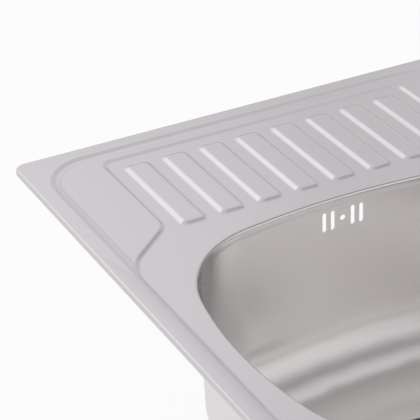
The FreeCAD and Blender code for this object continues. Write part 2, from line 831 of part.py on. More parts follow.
def make_waste_cup():
    """Moulded cup under the bowl that narrows to the threaded outlet, with a bridged boss."""
    cup_inner = size("bodyCupRadius") - size("bodyWall")
    neck_inner = size("outletRadius") - size("outletWall")
    flange_low = cupTop - size("bodyFlangeThickness")
    outlet_low = coneFloor - size("outletLength")
    body = turned_body("WasteCup", "waste_cup", profile(
        (cup_inner, cupTop),
        (cup_inner, cupFloor),
        (neck_inner, coneFloor),
        (neck_inner, outlet_low),
        (size("outletRadius"), outlet_low),
        (size("outletRadius"), coneFloor),
        (size("outletRadius") + size("bodyWall"), coneFloor),
        (size("bodyCupRadius"), cupFloor - size("bodyWall")),
        (size("bodyCupRadius"), flange_low),
        (flangeRadius, flange_low),
        (flangeRadius, cupTop),
    ))
    boss_low = bossTop - size("bossLength")
    boss_sketch = body_sketch(body, "BossOutline", "XY_Plane", boss_low)
    draw_circle(boss_sketch, ZERO, ZERO, size("bossRadius"))
    boss = body.newObject("PartDesign::Pad", "Boss")
    boss.Profile = boss_sketch
    boss.setExpression("Length", size("bossLength").formula)
    body.Tip = boss
    # two crossing bridges carry the boss above the neck
    reach = neck_inner + size("bodyWall")
    half = size("bridgeThickness") / 2
    for name, x, y in (("BridgeAcross", reach, half), ("BridgeAlong", half, reach)):
        bridge_sketch = body_sketch(body, name + "Outline", "XY_Plane", boss_low)
        draw_outline(bridge_sketch, profile((x, -y), (x, y), (-x, y), (-x, -y)))
        bridge = body.newObject("PartDesign::Pad", name)
        bridge.Profile = bridge_sketch
        bridge.setExpression("Length", (size("bossLength") / 2).formula)
        body.Tip = bridge
    bore_sketch = body_sketch(body, "InsertSeat", "XY_Plane", bossTop)
    draw_circle(bore_sketch, ZERO, ZERO, size("insertRadius"))
    cut_through(body, "InsertSeatCut", bore_sketch, size("bossLength"))
    return at_outlet(body)


def make_waste_insert():
    hole = size("wasteScrewRadius") + size("screwGap")
    low = bossTop - size("bossLength")
    return at_outlet(turned_body("WasteInsert", "waste_insert", profile(
        (hole, low), (size("insertRadius"), low), (size("insertRadius"), bossTop), (hole, bossTop))))


def make_waste_screw():
    """Centre screw that draws the cup up to the dish through the bowl floor."""
    head_low = dimpleFloor
    head_top = head_low + size("wasteScrewHeadHeight")
    tip = head_low - size("wasteScrewLength")
    body = turned_body("WasteScrew", "waste_screw", profile(
        (ZERO, tip),
        (size("wasteScrewRadius"), tip),
        (size("wasteScrewRadius"), head_low),
        (size("wasteScrewHeadRadius"), head_low),
        (size("wasteScrewHeadRadius"), head_top),
        (ZERO, head_top),
    ))
    slot = body_sketch(body, "ScrewdriverSlot", "XY_Plane", head_top)
    half = size("clipScrewSlotWidth") / 2
    reach = size("wasteScrewHeadRadius") * 2
    draw_outline(slot, profile((reach, -half), (reach, half), (-reach, half), (-reach, -half)))
    pocket(body, "ScrewdriverSlotCut", slot, size("clipScrewSlotDepth") * 2)
    return at_outlet(body)


# Basket: perforated cup that hangs on the dish ledge, with a post, knob and rubber stopper

rimTop = ledgeLevel + size("basketRimHeight")
basketFloor = ledgeLevel - size("basketDepth")
stopperTop = dishFloor + size("stopperThickness")
postHole = size("postRadius") + size("postFit")


def make_basket_cup():
    wall = size("basketWall")
    rim_radius = dishInnerRadius - size("basketGap")
    body = turned_body("BasketCup", "basket_cup", profile(
        (rim_radius, ledgeLevel),
        (rim_radius, rimTop),
        (size("basketRadius") - wall, rimTop),
        (size("basketBottomRadius") - wall, basketFloor + wall),
        (postHole, basketFloor + wall),
        (postHole, basketFloor),
        (size("basketBottomRadius"), basketFloor),
        (size("basketRadius"), ledgeLevel),
    ))
    hole_sketch = body_sketch(body, "BasketHole", "XY_Plane", basketFloor)
    draw_circle(hole_sketch, size("basketHoleRingRadius"), ZERO, size("basketHoleRadius"))
    hole = cut_through(body, "BasketHoleCut", hole_sketch, wall)
    around(body, "BasketHoles", hole, size("basketHoleCount"))
    slot_sketch = body_sketch(body, "BasketSlot", "YZ_Plane")
    draw_outline(slot_sketch, slot_outline(ZERO, basketFloor + size("basketDepth") / 2,
                                           size("basketSlotWidth"), size("basketSlotHeight")))
    slot = body.newObject("PartDesign::Pocket", "BasketSlotCut")
    slot.Profile = slot_sketch
    slot.Reversed = True
    slot.setExpression("Length", (size("basketRadius") + wall).formula)
    body.Tip = slot
    around(body, "BasketSlots", slot, size("basketSlotCount"))
    return at_outlet(body)


def make_stopper():
    hole = postHole
    hollow = size("stopperHollowRadius")
    return at_outlet(turned_body("Stopper", "stopper", profile(
        (hole, dishFloor + size("stopperHollowDepth")),
        (hollow, dishFloor + size("stopperHollowDepth")),
        (hollow, dishFloor),
        (size("stopperRadius") - size("stopperThickness") / 2, dishFloor),
        (size("stopperRadius"), dishFloor + size("stopperThickness") / 2),
        (size("stopperRadius"), stopperTop),
        (hole, stopperTop),
    )))


def make_post():
    """Post with a foot flange that carries the stopper."""
    low = dishFloor + size("stopperHollowDepth") / 2
    high = rimTop + size("knobLift") + size("knobHeight") * size("knobSeatShare")
    foot = size("postFootRadius")
    return at_outlet(turned_body("Post", "stopper_post", profile(
        (ZERO, low),
        (foot, low),
        (foot, dishFloor + size("stopperHollowDepth")),
        (size("postRadius"), dishFloor + size("stopperHollowDepth")),
        (size("postRadius"), high),
        (ZERO, high),
    )))


def make_knob():
    """Mushroom knob with a chamfered top, pressed on the post."""
    low = rimTop + size("knobLift")
    high = low + size("knobHeight")
    seat = low + size("knobHeight") * size("knobSeatShare")
    brim = low + size("knobHeight") * size("knobBrimShare")
    radius = size("knobRadius")
    return at_outlet(turned_body("Knob", "stopper_knob", profile(
        (postHole, low),
        (size("knobNeckRadius"), low),
        (size("knobNeckRadius"), seat),
        (radius, brim),
        (radius, high - size("knobChamfer")),
        (radius - size("knobChamfer"), high),
        (ZERO, high),
        (ZERO, seat),
        (postHole, seat),
    )))


def make_post_ring():
    """Spring ring on the post that keeps the stopper from falling out of the cup."""
    low = stopperTop
    return at_outlet(turned_body("PostRing", "post_ring", profile(
        (postHole, low),
        (size("clipRingRadius"), low),
        (size("clipRingRadius"), low + size("clipRingThickness")),
        (postHole, low + size("clipRingThickness")),
    )))


# Clips: a welded lug, a riveted arm that swings out under the worktop, and its screw

clipUnderField = fieldLevel - skin
clipUnderPad = padLevel - skin
lugHalfWidth = size("armWidth") / 2 + size("armSideGap") + size("lugThickness")
rearClipX = halfWidth - size("rearClipInset")
frontClipX = halfWidth - size("frontClipInset")
sideClipY = bowlCentreY - bowlLength / 2 + size("sideClipSetback")

# name, turn about Z in degrees, underside of the deck there, place along the edge
CLIPS = [
    ("rear_left", 90, clipUnderPad, -rearClipX),
    ("rear_right", 90, clipUnderPad, rearClipX),
    ("left", 180, clipUnderField, sideClipY),
    ("right", 0, clipUnderField, sideClipY),
    ("front_left", 270, clipUnderField, -frontClipX),
    ("front_right", 270, clipUnderField, frontClipX),
]


def at_clip(part, turn, under, along, inwards=ZERO):
    """Put a clip piece at its pivot or inwards of it, its local X pointing to the deck edge."""
    out_x = halfWidth - size("clipSetback") - inwards
    out_y = halfLength - size("clipSetback") - inwards
    places = {0: (out_x, along), 90: (along, out_y), 180: (-out_x, along), 270: (along, -out_y)}
    x, y = places[turn]
    part.Placement = FreeCAD.Placement(FreeCAD.Vector(), FreeCAD.Rotation(FreeCAD.Vector(0, 0, 1), turn))
    part.setExpression("Placement.Base.x", x.formula)
    part.setExpression("Placement.Base.y", y.formula)
    part.setExpression("Placement.Base.z", (under - size("clipPivotDrop")).formula)
    return part


def pad_both_ways(body, name, sketch, length):
    feature = body.newObject("PartDesign::Pad", name)
    feature.Profile = sketch
    feature.Midplane = True
    feature.setExpression("Length", length.formula)
    body.Tip = feature
    return feature


def make_lug(name):
    """Bent channel: a base welded under the deck and two ears for the rivet."""
    body = new_body("Lug" + name, "lug_" + name)
    top = size("clipPivotDrop")
    base_low = top - size("lugThickness")
    ear = size("lugEarRadius")
    sketch = body_sketch(body, "LugSide" + name, "XZ_Plane")
    draw_outline(sketch, [
        (-size("lugInnerReach"), base_low, None, 0),
        (-ear, base_low, None, 0),
        (-ear, ZERO, ear, 1),
        (ZERO, -ear, ear, 1),
        (ear, ZERO, None, 0),
        (ear, top, None, 0),
        (-size("lugInnerReach"), top, None, 0),
    ])
    pad_both_ways(body, "LugBlock" + name, sketch, lugHalfWidth * 2)
    between = body_sketch(body, "LugGap" + name, "XZ_Plane")
    draw_outline(between, profile(
        (-(ear + overrun), -(ear + overrun)), (ear + overrun, -(ear + overrun)),
        (ear + overrun, base_low), (-(ear + overrun), base_low)))
    pocket(body, "LugGapCut" + name, between, size("armWidth") + size("armSideGap") * 2)
    bore = body_sketch(body, "LugBore" + name, "XZ_Plane")
    draw_circle(bore, ZERO, ZERO, size("rivetRadius") + size("rivetFit"))
    cut_through(body, "LugBoreCut" + name, bore, lugHalfWidth)
    return body


def make_rivet(name):
    """Rivet along the deck edge through both ears, a head on each end."""
    body = new_body("Rivet" + name, "rivet_" + name)
    shank = body_sketch(body, "RivetShank" + name, "XZ_Plane")
    draw_circle(shank, ZERO, ZERO, size("rivetRadius"))
    pad_both_ways(body, "RivetBar" + name, shank, (lugHalfWidth + size("rivetHeadHeight")) * 2)
    for side, place in (("Near", lugHalfWidth), ("Far", -lugHalfWidth - size("rivetHeadHeight"))):
        head_sketch = body_sketch(body, "RivetHead%s%s" % (side, name), "XZ_Plane", place)
        draw_circle(head_sketch, ZERO, ZERO, size("rivetHeadRadius"))
        head = body.newObject("PartDesign::Pad", "RivetCap%s%s" % (side, name))
        head.Profile = head_sketch
        head.setExpression("Length", size("rivetHeadHeight").formula)
        body.Tip = head
    return body


def make_arm(name):
    """Bent strip: a lever with a threaded collar, a rolled barrel, a leg and a toothed foot."""
    body = new_body("Arm" + name, "clip_arm_" + name)
    thick = size("armThickness")
    leg = size("armLegLength")
    foot = size("armFootReach")
    tip = size("armToothHeight")
    bend = size("armBendRadius")
    sketch = body_sketch(body, "ArmSide" + name, "XZ_Plane")
    draw_outline(sketch, [
        (-size("armLeverReach"), -(thick / 2), None, 0),
        (ZERO, -(thick / 2), None, 0),
        (ZERO, thick * 2 - leg, thick + bend, 1),
        (thick + bend, thick - leg - bend, None, 0),
        (foot, thick - leg - bend, None, 0),
        (foot, thick - leg - bend + tip, None, 0),
        (foot - thick, thick - leg - bend + tip, None, 0),
        (foot - thick, thick * 2 - leg - bend, None, 0),
        (thick + bend, thick * 2 - leg - bend, bend, -1),
        (thick, thick * 2 - leg, None, 0),
        (thick, thick / 2, None, 0),
        (-size("armLeverReach"), thick / 2, None, 0),
    ])
    pad_both_ways(body, "ArmStrip" + name, sketch, size("armWidth"))
    barrel_sketch = body_sketch(body, "ArmBarrel" + name, "XZ_Plane")
    draw_circle(barrel_sketch, ZERO, ZERO, size("armBarrelRadius"))
    pad_both_ways(body, "ArmRoll" + name, barrel_sketch, size("armWidth"))
    collar_low = -(thick / 2) - size("clipCollarHeight")
    collar_sketch = body_sketch(body, "ArmCollar" + name, "XY_Plane", collar_low)
    draw_circle(collar_sketch, -size("clipScrewOffset"), ZERO, size("clipCollarRadius"))
    collar = body.newObject("PartDesign::Pad", "ArmCollarPad" + name)
    collar.Profile = collar_sketch
    collar.setExpression("Length", (size("clipCollarHeight") + thick / 2).formula)
    body.Tip = collar
    bore = body_sketch(body, "ArmBore" + name, "XZ_Plane")
    draw_circle(bore, ZERO, ZERO, size("rivetRadius") + size("barrelFit"))
    cut_through(body, "ArmBoreCut" + name, bore, size("armWidth") / 2)
    thread = body_sketch(body, "ArmThread" + name, "XY_Plane")
    draw_circle(thread, -size("clipScrewOffset"), ZERO, size("clipScrewRadius") + size("clipScrewFit"))
    cut_through(body, "ArmThreadCut" + name, thread, size("clipCollarHeight") + thick)
    teeth = body_sketch(body, "ArmTeeth" + name, "YZ_Plane", foot)
    crest = thick - leg - bend + tip
    half = size("armNotchWidth") / 2
    for place in (-size("armToothPitch"), ZERO, size("armToothPitch")):
        draw_outline(teeth, profile((place, crest - size("armNotchDepth")), (place + half, crest),
                                    (place - half, crest)))
    cut_through(body, "ArmTeethCut" + name, teeth, thick)
    return body


def make_clip_screw(name):
    """Slotted screw that bears on the lug and swings the arm."""
    tip = size("clipPivotDrop") - size("lugThickness") - size("clipScrewTipGap")
    radius = size("clipScrewRadius")
    low = tip - size("clipScrewLength")
    head_low = low - size("clipScrewHeadHeight")
    body = turned_body("Screw" + name, "clip_screw_" + name, profile(
        (ZERO, head_low),
        (size("clipScrewHeadRadius"), head_low),
        (size("clipScrewHeadRadius"), low),
        (radius, low),
        (radius, tip - radius / 2),
        (radius / 2, tip),
        (ZERO, tip),
    ))
    slot = body_sketch(body, "ScrewSlot" + name, "XY_Plane", head_low)
    half = size("clipScrewSlotWidth") / 2
    reach = size("clipScrewHeadRadius") * 2
    draw_outline(slot, profile((reach, -half), (reach, half), (-reach, half), (-reach, -half)))
    pocket(body, "ScrewSlotCut" + name, slot, size("clipScrewSlotDepth") * 2)
    return body


def make_clips():
    lugs = []
    rivets = []
    moving = []
    for name, turn, under, along in CLIPS:
        lugs.append(at_clip(make_lug(name), turn, under, along))
        rivets.append(at_clip(make_rivet(name), turn, under, along))
        moving.append(at_clip(make_arm(name), turn, under, along))
        moving.append(at_clip(make_clip_screw(name), turn, under, along, size("clipScrewOffset")))
    lug_group = doc.addObject("Part::Compound", "ClipLugs")
    lug_group.Links = lugs
    lug_group.Label = "clip_lugs"
    rivet_group = doc.addObject("Part::Compound", "ClipRivets")
    rivet_group.Links = rivets
    rivet_group.Label = "clip_rivets"
    return [lug_group, rivet_group] + moving


def check_document():
    """Stop unless every object built cleanly."""
    doc.recompute()
    broken = [item.Name for item in doc.Objects if "Invalid" in item.State or "Error" in item.State]
    if broken:
        raise RuntimeError("these did not build: %s" % ", ".join(broken))


def write_parts(pieces):
    for piece in pieces:
        shape = piece.Shape
        if shape.isNull() or not shape.isValid():
            raise RuntimeError("%s has no valid shape" % piece.Label)
    os.makedirs("parts", exist_ok=True)
    for piece in pieces:
        piece.Shape.exportStep("parts/%s.step" % piece.Label)
        shape = piece.Shape
        print("%-24s %2d solids  volume %10.1f" % (piece.Label, len(shape.Solids), shape.Volume))


pieces = [make_deck(), make_bowl(), make_rim_gasket(), make_damping_pads(), make_waste_dish()]
pieces += make_waste_seals()
pieces += [make_waste_cup(), make_waste_insert(), make_waste_screw(), make_basket_cup(), make_stopper()]
pieces += [make_post(), make_knob(), make_post_ring()]
pieces += make_clips()
check_document()
write_parts(pieces)
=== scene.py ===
import bpy, math
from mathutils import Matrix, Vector


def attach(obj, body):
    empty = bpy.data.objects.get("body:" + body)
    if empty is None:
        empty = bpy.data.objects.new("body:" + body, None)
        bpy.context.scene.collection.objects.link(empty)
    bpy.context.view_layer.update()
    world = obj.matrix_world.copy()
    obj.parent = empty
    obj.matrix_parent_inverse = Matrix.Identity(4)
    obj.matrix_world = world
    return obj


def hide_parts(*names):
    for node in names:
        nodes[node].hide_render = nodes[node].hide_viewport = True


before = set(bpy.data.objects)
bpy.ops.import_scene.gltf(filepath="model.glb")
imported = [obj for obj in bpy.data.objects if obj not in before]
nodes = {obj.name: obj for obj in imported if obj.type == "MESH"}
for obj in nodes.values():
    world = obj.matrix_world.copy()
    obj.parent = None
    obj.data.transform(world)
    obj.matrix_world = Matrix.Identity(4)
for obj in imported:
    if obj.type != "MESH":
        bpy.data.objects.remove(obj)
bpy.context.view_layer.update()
scene = bpy.context.scene
mm = 0.001


# small helpers for modelling by hand

def onlySelect(*pieces):
    bpy.ops.object.select_all(action="DESELECT")
    for piece in pieces:
        piece.select_set(True)
    bpy.context.view_layer.objects.active = pieces[0]


def editMode(kind):
    bpy.ops.object.mode_set(mode="EDIT")
    bpy.ops.mesh.select_mode(type=kind)


def objectMode():
    bpy.ops.object.mode_set(mode="OBJECT")


def flatFace(name, corners, height):  # seen from above, corners counter-clockwise in mm
    mesh = bpy.data.meshes.new(name)
    points = [(x * mm, y * mm, height * mm) for x, y in corners]
    mesh.from_pydata(points, [], [range(len(points))])
    piece = bpy.data.objects.new(name, mesh)
    scene.collection.objects.link(piece)
    return piece


def roundCorners(piece, corners, reach, segments):  # the arc starts at reach from the corner
    closeBy = 0.1 * mm
    onlySelect(piece)
    editMode("VERT")
    bpy.ops.mesh.select_all(action="DESELECT")
    objectMode()
    for vertex in piece.data.vertices:
        vertex.select = any(math.hypot(vertex.co.x - x * mm, vertex.co.y - y * mm) < closeBy
                            for x, y in corners)
    editMode("VERT")
    bpy.ops.mesh.bevel(offset=reach * mm, segments=segments, affect="VERTICES", profile=0.5)
    objectMode()


def boxCorners(halfWide, halfLong, x=0.0, y=0.0):
    return [(x - halfWide, y - halfLong), (x + halfWide, y - halfLong),
            (x + halfWide, y + halfLong), (x - halfWide, y + halfLong)]


def stepMiddle(piece, profile):  # insets the face along a slope of (inwards, height) points
    onlySelect(piece)
    editMode("FACE")
    bpy.ops.mesh.select_all(action="SELECT")
    for (insideNow, heightNow), (inside, height) in zip(profile, profile[1:]):
        bpy.ops.mesh.inset(thickness=(inside - insideNow) * mm,
                           depth=(height - heightNow) * mm, use_even_offset=True)
    objectMode()


def closeOver(piece, upwards):  # carries the open edge up or down and closes it
    onlySelect(piece)
    editMode("EDGE")
    bpy.ops.mesh.select_all(action="DESELECT")
    bpy.ops.mesh.select_non_manifold()
    bpy.ops.mesh.extrude_region_move(TRANSFORM_OT_translate={"value": (0, 0, upwards * mm)})
    bpy.ops.mesh.edge_face_add()
    bpy.ops.mesh.select_all(action="SELECT")
    bpy.ops.mesh.normals_make_consistent(inside=False)
    objectMode()


def combine(piece, tool, way):  # the tool is used up
    onlySelect(piece)
    cutter = piece.modifiers.new("combine", "BOOLEAN")
    cutter.operation, cutter.object, cutter.solver = way, tool, "EXACT"
    bpy.ops.object.modifier_apply(modifier=cutter.name)
    bpy.data.objects.remove(tool, do_unlink=True)


# the pressed deck, in mm: profiles are (inwards, height) points from an outline

deckShape = {
    "halfWidth": 240.0, "halfLength": 290.0, "corner": 11.0, "cornerSegments": 10,
    "rimHeight": 5.5, "edgeBend": 2.0, "sheet": 0.8, "aboveRim": 3.0,
    "recess": (224.5, 274.5), "recessCorner": 48.0, "recessSegments": 24,
    "recessProfile": [
        (-1.2, 5.66), (-0.4, 5.50), (0.2, 5.38), (0.9, 5.06), (3.0, 3.98), (3.8, 3.72),
        (4.7, 3.60), (7.4, 3.48), (8.2, 3.38), (9.0, 3.25), (9.8, 3.2)],
    "padSide": 165.9, "padRear": 258.7, "padKnee": 127.63, "padLevel": 3.2,
    "fieldSide": 221.4, "fieldTail": 81.06, "fieldFront": -271.4, "fieldLevel": 0.7,
    "fieldProfile": [
        (-5.7, 6.95), (-0.95, 3.42), (-0.45, 3.19), (0.1, 3.02), (0.7, 2.70), (1.7, 1.92),
        (2.7, 1.15), (3.3, 0.88), (4.0, 0.74), (4.8, 0.70)],
    "innerCorner": 10.9, "kneeCorner": 20.1, "tailCorner": 43.9, "frontCorner": 45.9,
    "slant": 40.0, "fieldSegments": 14,
    "ribHalf": (12.85, 60.7), "ribCorner": 6.5, "ribSegments": 8, "ribRoot": 1.5,
    "ribPitch": 39.0, "ribCount": 8, "ribMiddle": 180.9,
    "ribProfile": [
        (-1.4, 0.62), (-0.6, 0.76), (0.1, 1.00), (0.8, 1.38), (1.9, 2.10), (2.7, 2.62),
        (3.3, 2.93), (3.9, 3.11), (4.6, 3.2)],
    "lipEdge": (1.0, 0.10), "lipRadius": 3.0, "lipBottom": -8.0, "lipLean": 0.33,
    "bendTurns": (18, 36, 54, 72, 90), "mouthBelow": 20.0, "mouthAbove": 6.0,
    "fallFrom": 115.0, "fallRate": 0.0026, "weldReach": 0.02, "sliver": 0.01,
}

# the bowl, in mm: each arc is its centre, from the bowl's middle, and its radius

bowlShape = {
    "middle": -76.5, "sideArc": (-201.0, 0.0, 400.0), "cornerArc": (88.46, 61.90, 104.0),
    "endArc": (0.0, -527.5, 700.0), "arcSteps": 20, "draft": 2.0, "draftFrom": 0.7,
    "depth": 175.0, "sheet": 0.8, "floorRadius": 38.0, "softRadius": 56.0,
    "weldReach": 0.001, "sharpTurn": 30.0,
}


def makePlate():
    shape = deckShape
    bend, top = shape["edgeBend"], shape["rimHeight"]
    corners = boxCorners(shape["halfWidth"], shape["halfLength"])
    plate = flatFace("deck_pressing", corners, top - bend)
    roundCorners(plate, corners, shape["corner"], shape["cornerSegments"])
    turns = [math.radians(turn) for turn in (0, *shape["bendTurns"])]
    stepMiddle(plate, [(bend * (1 - math.cos(a)), top - bend + bend * math.sin(a)) for a in turns])
    closeOver(plate, shape["lipBottom"] - (top - bend))
    return plate


def makeRecess():
    shape = deckShape
    profile = shape["recessProfile"]
    out = -profile[0][0]
    corners = boxCorners(shape["recess"][0] + out, shape["recess"][1] + out)
    recess = flatFace("recess", corners, profile[0][1])
    roundCorners(recess, corners, shape["recessCorner"] + out, shape["recessSegments"])
    stepMiddle(recess, profile)
    closeOver(recess, shape["aboveRim"])
    return recess


def makeField():
    shape = deckShape
    profile = shape["fieldProfile"]
    grow = -profile[0][0]
    slant = math.radians(shape["slant"])
    rise = (1 - math.sin(slant)) / math.cos(slant) * grow
    turn = math.tan((math.pi / 2 - slant) / 2)
    right = [  # each corner, and how far from it the arc starts
        (shape["fieldSide"] + grow, shape["fieldFront"] - grow, shape["frontCorner"] + grow),
        (shape["fieldSide"] + grow, shape["fieldTail"] + rise, (shape["tailCorner"] + grow) * turn),
        (shape["padSide"] + grow, shape["padKnee"] + rise, (shape["kneeCorner"] - grow) * turn),
        (shape["padSide"] + grow, shape["padRear"] + grow, shape["innerCorner"] + grow)]
    corners = [(x, y) for x, y, reach in right] + [(-x, y) for x, y, reach in reversed(right)]
    field = flatFace("field", corners, profile[0][1])
    for x, y, reach in right:
        roundCorners(field, [(x, y), (-x, y)], reach, shape["fieldSegments"])
    stepMiddle(field, profile)
    closeOver(field, shape["aboveRim"])
    return field


def makeRib(number):
    shape = deckShape
    profile = shape["ribProfile"]
    out = -profile[0][0]
    x = shape["ribPitch"] * (number - (shape["ribCount"] - 1) / 2)
    halfWide, halfLong = shape["ribHalf"]
    corners = boxCorners(halfWide + out, halfLong + out, x, shape["ribMiddle"])
    rib = flatFace("rib", corners, profile[0][1])
    roundCorners(rib, corners, shape["ribCorner"] + out, shape["ribSegments"])
    stepMiddle(rib, profile)
    closeOver(rib, -shape["ribRoot"])
    return rib


def bowlArcs():  # a quarter of the bowl's mouth: centre, radius and the two turns of each arc
    arcs = [bowlShape[name] for name in ("sideArc", "cornerArc", "endArc")]
    side, corner, end = (Vector(arc[:2]) for arc in arcs)
    turnIn = math.atan2(corner.y - side.y, corner.x - side.x)
    turnOut = math.atan2(corner.y - end.y, corner.x - end.x)
    return [(side, arcs[0][2], 0.0, turnIn), (corner, arcs[1][2], turnIn, turnOut),
            (end, arcs[2][2], turnOut, math.pi / 2)]


def bowlOutline(grow):
    arcs = bowlArcs()
    steps = bowlShape["arcSteps"]
    quarter = []
    for middle, radius, start, stop in arcs:
        for i in range(steps):
            a = start + (stop - start) * i / steps
            quarter.append((middle.x + (radius + grow) * math.cos(a),
                            middle.y + (radius + grow) * math.sin(a)))
    end, radius = arcs[-1][:2]
    quarter.append((0.0, end.y + radius + grow))
    half = quarter + [(-x, y) for x, y in reversed(quarter[:-1])]
    loop = half + [(x, -y) for x, y in reversed(half[1:-1])]
    return [(x, y + bowlShape["middle"]) for x, y in loop]


def makeMouth():
    shape = deckShape
    roll, level = shape["lipRadius"], shape["fieldLevel"]
    edge, above = shape["lipEdge"]
    profile = [(0.0, level + above), (edge, level)]
    for turn in shape["bendTurns"]:
        a = math.radians(turn)
        profile.append((edge + roll * math.sin(a), level - roll * (1 - math.cos(a))))
    below = shape["mouthBelow"]  # the wall under the roll leans in to meet the bowl
    lean = shape["lipLean"] / (level - roll - shape["lipBottom"])
    profile.append((edge + roll + below * lean, level - roll - below))
    mouth = flatFace("mouth", bowlOutline(roll + edge), profile[0][1])
    stepMiddle(mouth, profile)
    closeOver(mouth, shape["mouthAbove"])
    return mouth


def openBack(deck):  # drops the underside, and lifts the outer wall to the worktop
    side, rear = deckShape["recess"]
    facingDown, worktop = -0.9, 0.0
    onlySelect(deck)
    editMode("FACE")
    bpy.ops.mesh.select_all(action="DESELECT")
    objectMode()
    for face in deck.data.polygons:
        face.select = face.normal.z < facingDown
    editMode("FACE")
    bpy.ops.mesh.delete(type="FACE")
    objectMode()
    for vertex in deck.data.vertices:
        x, y, z = vertex.co / mm
        if z < worktop and (abs(x) > side or abs(y) > rear):
            vertex.co.z = worktop


def fallToBowl(deck):  # the drainer is shallow at the rear and deepens towards the bowl
    shape = deckShape
    side, rear = shape["recess"]
    start, pad = shape["fallFrom"], shape["padLevel"]
    onlySelect(deck)
    editMode("VERT")
    bpy.ops.mesh.select_all(action="SELECT")
    bpy.ops.mesh.bisect(plane_co=(0, start * mm, 0), plane_no=(0, 1, 0))
    objectMode()
    for vertex in deck.data.vertices:
        x, y, z = vertex.co / mm
        if abs(x) < side and start < y < rear and z < pad:
            vertex.co.z = (pad - (pad - z) * (1 - shape["fallRate"] * (y - start))) * mm


def makeDeck():
    deck = makePlate()
    combine(deck, makeRecess(), "DIFFERENCE")
    combine(deck, makeField(), "DIFFERENCE")
    for number in range(deckShape["ribCount"]):
        combine(deck, makeRib(number), "UNION")
    combine(deck, makeMouth(), "DIFFERENCE")
    openBack(deck)
    fallToBowl(deck)
    onlySelect(deck)
    editMode("VERT")
    bpy.ops.mesh.select_all(action="SELECT")
    bpy.ops.mesh.remove_doubles(threshold=deckShape["weldReach"] * mm)
    bpy.ops.mesh.dissolve_degenerate(threshold=deckShape["sliver"] * mm)
    objectMode()
    print("deck faces", len(deck.data.polygons))
    return deck


def evenShading(piece, keepSharp):  # the large faces decide how the edges between are shaded
    onlySelect(piece)
    even = piece.modifiers.new("evenShading", "WEIGHTED_NORMAL")
    even.weight = 100
    even.keep_sharp = keepSharp
    bpy.ops.object.modifier_apply(modifier=even.name)


deck = makeDeck()
onlySelect(deck)
bpy.ops.object.shade_smooth()
wall = deck.modifiers.new("sheet", "SOLIDIFY")
wall.thickness, wall.offset = deckShape["sheet"] * mm, -1
bpy.ops.object.modifier_apply(modifier=wall.name)
evenShading(deck, False)
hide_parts("deck")
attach(deck, "sink")
print("deck pressed")


# the drawn bowl: a copy of its solid, with the wider floor edge that the photo shows

def floorRounding(radius):  # height of its centre, and the centre's reach past the mouth's arc
    lean = math.radians(bowlShape["draft"])
    height = radius - bowlShape["depth"]
    inset = (height - bowlShape["draftFrom"]) * math.tan(lean) - radius / math.cos(lean)
    return height, inset


def roundFloor(bowl):  # moves both skins of the tight rounding onto the wide one
    shape = bowlShape
    tight, wide = shape["floorRadius"], shape["softRadius"]
    tightHeight, tightInset = floorRounding(tight)
    wideHeight, wideInset = floorRounding(wide)
    slack = 0.2
    arcs = bowlArcs()
    for vertex in bowl.data.vertices:
        x, y, z = vertex.co / mm
        y -= shape["middle"]
        for middle, radius, start, stop in arcs:
            spoke = Vector((abs(x), abs(y))) - middle
            if start <= math.atan2(spoke.y, spoke.x) <= stop:
                break
        out, down = spoke.length - radius - tightInset, z - tightHeight
        reach = math.hypot(out, down)
        onRounding = -slack < reach - tight < shape["sheet"] + slack
        if onRounding and out > -slack / 2 and down < 0:
            grown = 1 + (wide - tight) / reach
            place = middle + spoke.normalized() * (radius + wideInset + out * grown)
            x, y = math.copysign(place.x, x), math.copysign(place.y, y) + shape["middle"]
            vertex.co = (x * mm, y * mm, (wideHeight + down * grown) * mm)


def makeBowl():
    bowl = bpy.data.objects.new("bowl_drawing", nodes["bowl"].data.copy())
    scene.collection.objects.link(bowl)
    onlySelect(bowl)
    bpy.ops.mesh.customdata_custom_splitnormals_clear()
    editMode("VERT")
    bpy.ops.mesh.select_all(action="SELECT")
    bpy.ops.mesh.remove_doubles(threshold=bowlShape["weldReach"] * mm)
    objectMode()
    roundFloor(bowl)
    bpy.ops.object.shade_smooth_by_angle(angle=math.radians(bowlShape["sharpTurn"]))
    evenShading(bowl, True)
    return bowl


bowl = makeBowl()
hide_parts("bowl")
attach(bowl, "sink")
print("bowl drawn")


# camera, solved from the deck's straight edges

camera = {
    "target": (-0.1167, 0.1314, 0.0020),
    "distance": 1.5654,
    "azimuth": -27.615,
    "elevation": 30.284,
    "roll": -1.309,
    "lens": 150.9,
    "sensor": 36.0,
    "farthest": 20.0,
}


def addCamera():
    turn, lift = math.radians(camera["azimuth"]), math.radians(camera["elevation"])
    level = math.cos(lift)
    back = Vector((math.sin(turn) * level, -math.cos(turn) * level, math.sin(lift)))
    bpy.ops.object.camera_add(location=Vector(camera["target"]) + back * camera["distance"])
    eye = bpy.context.object
    facing = back.to_track_quat("Z", "Y").to_matrix()
    right = Vector((0, 0, 1)).cross(back).normalized()
    up = back.cross(right)
    roll = math.radians(camera["roll"])
    facing.col[0] = right * math.cos(roll) + up * math.sin(roll)
    facing.col[1] = up * math.cos(roll) - right * math.sin(roll)
    facing.col[2] = back
    eye.rotation_mode = "QUATERNION"
    eye.rotation_quaternion = facing.to_quaternion()
    eye.data.lens = camera["lens"]
    eye.data.sensor_width = camera["sensor"]
    eye.data.clip_end = camera["farthest"]
    scene.camera = eye


addCamera()
print("camera done")


# materials: a noise on the piece's own coordinates varies the colour, the roughness and a
# slight bump; grain is the noise's scale, along each axis for the brushed and turned metals

